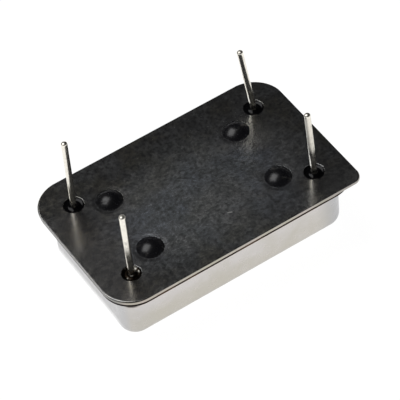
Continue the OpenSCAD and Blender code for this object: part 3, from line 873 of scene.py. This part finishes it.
def wire_tree():
    """Geometry tree for a pin: an upright wire that leans from its bend and has a rounded end."""
    graph, inputs = new_tree(
        "Leaning Wire",
        Vector=("Foot", "Lean"),
        Float=("Height", "Bend Height", "Bend Ease", "Radius", "Tip Rounding"),
        Int=("Rings", "Tip Rings", "Sides"),
    )
    tip = inputs["Tip Rounding"]
    shaft_rings = inputs["Rings"] - inputs["Tip Rings"]
    line = graph.add("GeometryNodeMeshLine", None, {"Count": inputs["Rings"]})
    index = graph.add("GeometryNodeInputIndex")
    along = (index / shaft_rings).smaller(1.0)
    turn = ((index - shaft_rings) / (inputs["Tip Rings"] - 1)).larger(0.0) * QUARTER
    height = (inputs["Height"] - tip) * along + tip * turn.math("SINE")
    thickness = inputs["Radius"] * turn.math("COSINE")
    above_bend = height - inputs["Bend Height"]
    leaning = above_bend.math("SMOOTH_MAX", above_bend, 0.0, inputs["Bend Ease"])
    place = graph.moved(graph.scaled(inputs["Lean"], leaning), inputs["Foot"])
    place = graph.moved(place, graph.vector(z=height))
    line = graph.add("GeometryNodeSetPosition", None, {"Geometry": line, "Position": place})
    path = graph.add("GeometryNodeMeshToCurve", None, {"Mesh": line})
    path = graph.add("GeometryNodeSetCurveNormal", {"mode": "MINIMUM_TWIST"}, {"Curve": path})
    round_section = graph.add(
        "GeometryNodeCurvePrimitiveCircle", None, {"Resolution": inputs["Sides"], "Radius": 1.0}
    )
    skin = graph.add("GeometryNodeCurveToMesh", None, {
        "Curve": path, "Profile Curve": round_section, "Scale": thickness, "Fill Caps": True,
    })
    return end_tree(graph, skin, inputs["Material"])


def grow(name, tree, inputs, profile=()):
    """Runs a geometry tree on a row of profile points and keeps the result as a plain mesh."""
    row = bpy.data.meshes.new(name + "_profile")
    row.from_pydata([(x, 0.0, z) for x, z in profile], [], [])
    piece = add_piece(name, row)
    modifier = piece.modifiers.new("Shape", "NODES")
    modifier.node_group = tree
    for item in tree.interface.items_tree:
        if item.in_out == "INPUT" and item.name in inputs:
            modifier[item.identifier] = inputs[item.name]
    depsgraph = bpy.context.evaluated_depsgraph_get()
    mesh = bpy.data.meshes.new_from_object(piece.evaluated_get(depsgraph), depsgraph=depsgraph)
    piece.modifiers.remove(modifier)
    piece.data = mesh
    mesh.name = name
    bpy.data.meshes.remove(row)
    shell = bmesh.new()
    shell.from_mesh(mesh)
    bmesh.ops.remove_doubles(shell, verts=shell.verts, dist=MERGE_GAP)
    finish_mesh(mesh, shell)
    return piece


def add_turned(name, node, tree, material, profile):
    """Turns a profile round a node's middle, and lets the result stand for the node."""
    sides = bpy.context.scene.oscillator.glass.sides
    inputs = {"Place": flat_place(node), "Sides": sides, "Material": material}
    hand_over(grow(name, tree, inputs, profile), node)


# ---------------------------------------------------------------- outlines and profiles


def cap_outlines(settings):
    """Outlines of the cap's wall, of its flange and of its inside."""
    half_x = CAP_HIGH.x - settings.end_flange
    half_y = CAP_HIGH.y - settings.side_flange
    wall = Outline(half_x, half_y, [settings.corner] * 4)
    flange = Outline(CAP_HIGH.x, CAP_HIGH.y, [settings.flange_corner] * 4)
    return wall, flange, wall.grown(-settings.wall)


def hole_rim(radius, rounding):
    """Profile of a hole's rounded rim, from the flat face round it down into the hole."""
    middle_z = PLATE_HIGH.z - rounding
    return [
        (radius + rounding + SUPPORT, PLATE_HIGH.z),
        *arc((radius + rounding, middle_z), rounding, 90, 180, FINE_STEPS),
    ]


def plate_holes(settings):
    """Place and profile of each hole in the base plate, from its top face to its bottom face."""
    top, bottom = PLATE_HIGH.z, PLATE_LOW.z
    holes = []
    for node in SEAL_NODES:
        reach = half_width(node)
        holes.append((flat_place(node), hole_rim(reach, settings.rim_round) + [(reach, bottom)]))
    for node in BEAD_NODES:
        moat = hole_rim(half_width(node) + settings.moat / 2, settings.moat_round)
        under_bead = half_width(node) - settings.moat / 2
        hole = settings.bead_hole
        holes.append((flat_place(node), moat + [
            (under_bead, moat[-1][1]), (under_bead, top), (hole, top), (hole, bottom),
        ]))
    pocket = half_width("ground_braze")
    holes.append((flat_place("ground_braze"), hole_rim(pocket, settings.rim_round) + [
        (pocket, BRAZE_LOW.z), (PIN_RADIUS, BRAZE_LOW.z), (PIN_RADIUS, bottom),
    ]))
    return holes


def dish(outer, level, dip):
    """Profile of a dished face between the pin and the hole's wall, from the pin outwards."""
    half = (outer - PIN_RADIUS) / 2
    radius = (half ** 2 + dip ** 2) / (2 * dip)
    spread = math.degrees(math.asin(half / radius))
    centre = (PIN_RADIUS + half, level + radius - dip)
    return arc(centre, radius, 270 - spread, 270 + spread, DOME_STEPS)


# ---------------------------------------------------------------- stage


def add_floor(settings):
    """A plain pale floor, just under the object."""
    half = settings.floor_size / 2
    mesh = bpy.data.meshes.new("floor")
    corners = [(x * half, y * half, -FLOOR_GAP) for x, y in ((-1, -1), (1, -1), (1, 1), (-1, 1))]
    mesh.from_pydata(corners, [], [(0, 1, 2, 3)])
    finish = Finish(
        "pale_floor", Base_Color=solid(settings.floor_colour), Roughness=0.9, Metallic=0.0,
        Specular_IOR_Level=0.0, Emission_Color=solid(WHITE), Emission_Strength=settings.floor_glow,
    )
    mesh.materials.append(finish.material)
    add_piece("floor", mesh)


def add_sky(settings):
    """Surroundings: a low white wall in front of the object, and a dark room behind and overhead."""
    world = bpy.data.worlds.new("studio")
    world.use_nodes = True
    graph = Graph(world.node_tree)
    x, y, z = graph.axes(graph.add("ShaderNodeTexCoord", output="Generated"))
    front = Vector(settings.camera_place[:2]).normalized()
    ahead = x * front.x + y * front.y
    wall = ahead.ramp(-0.2, 0.5, settings.wall_back, settings.wall_front)
    low = z.fade(math.sin(settings.wall_fade_from), math.sin(settings.wall_fade_to))
    brightness = wall * low + (1 - low) * settings.ceiling
    background = graph.add("ShaderNodeBackground", None, {"Strength": brightness})
    graph.add("ShaderNodeOutputWorld", None, {"Surface": background})
    bpy.context.scene.world = world


def add_softbox(settings):
    """One softbox, high behind the object."""
    direction = Vector(settings.box_direction).normalized()
    light = bpy.data.lights.new("softbox", "AREA")
    light.shape = "RECTANGLE"
    light.size = settings.box_width
    light.size_y = settings.box_depth
    light.energy = settings.box_power
    lamp = bpy.data.objects.new("softbox", light)
    lamp.location = direction * settings.box_distance
    lamp.rotation_euler = direction.to_track_quat("Z", "Y").to_euler()
    bpy.context.scene.collection.objects.link(lamp)


def add_camera(settings):
    """The camera, looking down on the base plate from the front left."""
    camera = bpy.data.cameras.new("camera")
    camera.sensor_width = SENSOR_WIDTH
    camera.lens = settings.lens
    camera.clip_start = 0.005
    camera.clip_end = 10.0
    stand = bpy.data.objects.new("camera", camera)
    stand.location = settings.camera_place
    stand.rotation_euler = settings.camera_turn
    bpy.context.scene.collection.objects.link(stand)
    bpy.context.scene.camera = stand


# ---------------------------------------------------------------- operators


class OSCILLATOR_OT_cap(bpy.types.Operator):
    """Makes the drawn cap: a thin cup with a weld flange round its mouth"""

    bl_idname = "oscillator.cap"
    bl_label = "Cap"

    def execute(self, context):
        settings = context.scene.oscillator.cap
        wall, flange, inside = cap_outlines(settings)
        edge, root, sheared, steps = settings.edge, settings.root, settings.sheared, settings.steps
        inner_edge = edge - settings.wall
        mouth = CAP_HIGH.z
        under = mouth - settings.wall
        outer_profile = [
            (-edge - SUPPORT, CAP_LOW.z),
            *arc((-edge, CAP_LOW.z + edge), edge, 270, 360, steps),
            *arc((root, under - root), root, 180, 90, steps),
            (root + SUPPORT, under),
        ]
        flange_profile = [
            (-sheared - SUPPORT, under),
            *arc((-sheared, under + sheared), sheared, 270, 360, FINE_STEPS),
            *arc((-sheared, mouth - sheared), sheared, 0, 90, FINE_STEPS),
            (-sheared - SUPPORT, mouth),
        ]
        floor = CAP_LOW.z + settings.wall
        inner_profile = [
            (0.0, mouth),
            *arc((-inner_edge, floor + inner_edge), inner_edge, 0, -90, steps),
            (-inner_edge - SUPPORT, floor),
        ]
        shell = bmesh.new()
        rows = add_rings(shell, [
            *swept(wall, outer_profile, steps),
            *swept(flange, flange_profile, steps),
            *swept(inside, inner_profile, steps),
        ])
        shell.faces.new(rows[0])
        shell.faces.new(rows[-1])
        hand_over(add_shell("drawn_cap", shell, cap_finish(settings)), "cap")
        return {"FINISHED"}


class OSCILLATOR_OT_base_plate(bpy.types.Operator):
    """Makes the base plate: a rim and a platform, pierced for the glass and the ground pin"""

    bl_idname = "oscillator.base_plate"
    bl_label = "Base Plate"

    def execute(self, context):
        settings = context.scene.oscillator.base
        steps = context.scene.oscillator.cap.steps
        inside = cap_outlines(context.scene.oscillator.cap)[2]
        low_edge = settings.lower_edge
        radii = [settings.corner, settings.corner, settings.corner, settings.index_corner]
        rim = Outline(PLATE_HIGH.x, PLATE_HIGH.y, radii)
        top, bottom = PLATE_HIGH.z, PLATE_LOW.z
        under = top - settings.rim
        lower_profile = [
            *arc((-low_edge, under + low_edge), low_edge, 0, -90, FINE_STEPS),
            (-low_edge - SUPPORT, under),
        ]
        shell = bmesh.new()
        body = add_rings(shell, [
            *swept(rim, [(-settings.corner_roll - SUPPORT, top)], steps),
            *rolled(rim, top, settings.edge_roll, settings.corner_roll, steps),
            *swept(rim, lower_profile, steps),
            *swept(inside.grown(-settings.platform_gap), [(0.0, under), (0.0, bottom)], steps),
        ])
        upper, lower = [body[0]], [body[-1]]
        for place, profile in plate_holes(settings):
            rows = add_rings(shell, [circle(place, radius, z) for radius, z in profile])
            upper.append(rows[0])
            lower.append(rows[-1])
        fill_flat(shell, upper)
        fill_flat(shell, lower)
        hand_over(add_shell("pierced_base", shell, base_finish(settings)), "base_plate")
        return {"FINISHED"}


class OSCILLATOR_OT_pins(bpy.types.Operator):
    """Makes the four pins, each with its own lean"""

    bl_idname = "oscillator.pins"
    bl_label = "Pins"

    def execute(self, context):
        settings = context.scene.oscillator.pin
        tree = wire_tree()
        finish = pin_finish(settings)
        for node in PIN_NODES:
            low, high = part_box(node)
            axis = Vector(MOUNTS[node]["axis"])
            lean = Vector((axis.x / axis.z, axis.y / axis.z, 0.0))
            bend_z = PLATE_HIGH.z + settings.bend_height
            foot = Vector(MOUNTS[node]["pos_m"])
            foot -= lean * (foot.z - bend_z)
            foot.z = low.z
            overhang = math.hypot(settings.tip_round, PIN_RADIUS * lean.length) - settings.tip_round
            piece = grow("wire_" + node, tree, {
                "Foot": foot,
                "Lean": lean,
                "Height": high.z - low.z - overhang,
                "Bend Height": bend_z - low.z,
                "Bend Ease": settings.bend_ease,
                "Radius": PIN_RADIUS,
                "Tip Rounding": settings.tip_round,
                "Rings": settings.rings,
                "Tip Rings": settings.tip_rings,
                "Sides": settings.sides,
                "Material": finish,
            })
            hand_over(piece, node)
        return {"FINISHED"}


class OSCILLATOR_OT_glass_seals(bpy.types.Operator):
    """Makes the three glass seals, dished on both faces"""

    bl_idname = "oscillator.glass_seals"
    bl_label = "Glass Seals"

    def execute(self, context):
        settings = context.scene.oscillator.glass
        tree = turned_tree("Turned Seal")
        finish = glass_finish("sealing_glass", settings.seal_glass, polish=0.08, reflectance=0.2)
        for node in SEAL_NODES:
            low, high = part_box(node)
            upper = dish(half_width(node), high.z, settings.seal_dip)
            lower = [(reach, low.z + high.z - z) for reach, z in reversed(upper)]
            add_turned("dished_" + node, node, tree, finish, [*upper, *lower, upper[0]])
        return {"FINISHED"}


class OSCILLATOR_OT_ground_braze(bpy.types.Operator):
    """Makes the braze that joins the ground pin to the base"""

    bl_idname = "oscillator.ground_braze"
    bl_label = "Ground Braze"

    def execute(self, context):
        settings = context.scene.oscillator.glass
        reach = half_width("ground_braze")
        upper = dish(reach, BRAZE_HIGH.z, settings.braze_dip)
        profile = [*upper, (reach, BRAZE_LOW.z), (PIN_RADIUS, BRAZE_LOW.z), upper[0]]
        tree = turned_tree("Turned Braze")
        add_turned("braze_fillet", "ground_braze", tree, braze_finish(settings), profile)
        return {"FINISHED"}


class OSCILLATOR_OT_standoff_beads(bpy.types.Operator):
    """Makes the four glass stand-off beads, each a dome on a plug of glass in the base"""

    bl_idname = "oscillator.standoff_beads"
    bl_label = "Stand-off Beads"

    def execute(self, context):
        settings = context.scene.oscillator.glass
        plug = context.scene.oscillator.base.bead_hole
        tree = turned_tree("Turned Bead")
        finish = glass_finish("bead_glass", settings.bead_glass, polish=0.27, reflectance=0.55)
        for node in BEAD_NODES:
            low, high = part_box(node)
            reach = half_width(node)
            rise = high.z - PLATE_HIGH.z
            radius = (reach ** 2 + rise ** 2) / (2 * rise)
            start = math.degrees(math.acos(reach / radius))
            dome = arc((0.0, high.z - radius), radius, start, 90, DOME_STEPS)
            profile = [(0.0, low.z), (plug, low.z), (plug, PLATE_HIGH.z), *dome]
            add_turned("dome_" + node, node, tree, finish, profile)
        return {"FINISHED"}


class OSCILLATOR_OT_inside(bpy.types.Operator):
    """Gives the pieces inside the can their finishes"""

    bl_idname = "oscillator.inside"
    bl_label = "Pieces Inside"

    def execute(self, context):
        finishes = {}
        for node, slot in SLOTS.items():
            if node in OUTSIDE_NODES:
                continue
            if slot not in finishes:
                finishes[slot] = quartz_finish() if slot == "quartz" else inside_finish(slot)
            for material_slot in frame["nodes"][node].material_slots:
                material_slot.material = finishes[slot]
        return {"FINISHED"}


class OSCILLATOR_OT_stage(bpy.types.Operator):
    """Sets up the floor, the surroundings, the softbox and the camera"""

    bl_idname = "oscillator.stage"
    bl_label = "Stage"

    def execute(self, context):
        settings = context.scene.oscillator.stage
        add_floor(settings)
        add_sky(settings)
        add_softbox(settings)
        add_camera(settings)
        context.scene.view_settings.view_transform = "Standard"
        return {"FINISHED"}


# ---------------------------------------------------------------- panel and registration


STEPS = (
    OSCILLATOR_OT_cap,
    OSCILLATOR_OT_base_plate,
    OSCILLATOR_OT_pins,
    OSCILLATOR_OT_glass_seals,
    OSCILLATOR_OT_ground_braze,
    OSCILLATOR_OT_standoff_beads,
    OSCILLATOR_OT_inside,
    OSCILLATOR_OT_stage,
)
SETTINGS = (CapSettings, BaseSettings, PinSettings, GlassSettings, StageSettings, OscillatorSettings)


class OSCILLATOR_PT_pieces(bpy.types.Panel):
    """Lists the pieces and their settings"""

    bl_idname = "OSCILLATOR_PT_pieces"
    bl_label = "Crystal Oscillator"
    bl_space_type = "VIEW_3D"
    bl_region_type = "UI"
    bl_category = "Oscillator"

    def draw(self, context):
        for step in STEPS:
            self.layout.operator(step.bl_idname)
        settings = context.scene.oscillator
        for group in ("cap", "base", "pin", "glass", "stage"):
            box = self.layout.box()
            box.label(text=group.title())
            for name in getattr(settings, group).bl_rna.properties.keys():
                if name not in ("rna_type", "name"):
                    box.prop(getattr(settings, group), name)


CLASSES = (*SETTINGS, *STEPS, OSCILLATOR_PT_pieces)


def register():
    for cls in CLASSES:
        bpy.utils.register_class(cls)
    bpy.types.Scene.oscillator = PointerProperty(type=OscillatorSettings)


def unregister():
    del bpy.types.Scene.oscillator
    for cls in reversed(CLASSES):
        bpy.utils.unregister_class(cls)


def main():
    register()
    bpy.ops.oscillator.cap()
    bpy.ops.oscillator.base_plate()
    bpy.ops.oscillator.pins()
    bpy.ops.oscillator.glass_seals()
    bpy.ops.oscillator.ground_braze()
    bpy.ops.oscillator.standoff_beads()
    bpy.ops.oscillator.inside()
    bpy.ops.oscillator.stage()


if __name__ == "__main__":
    main()
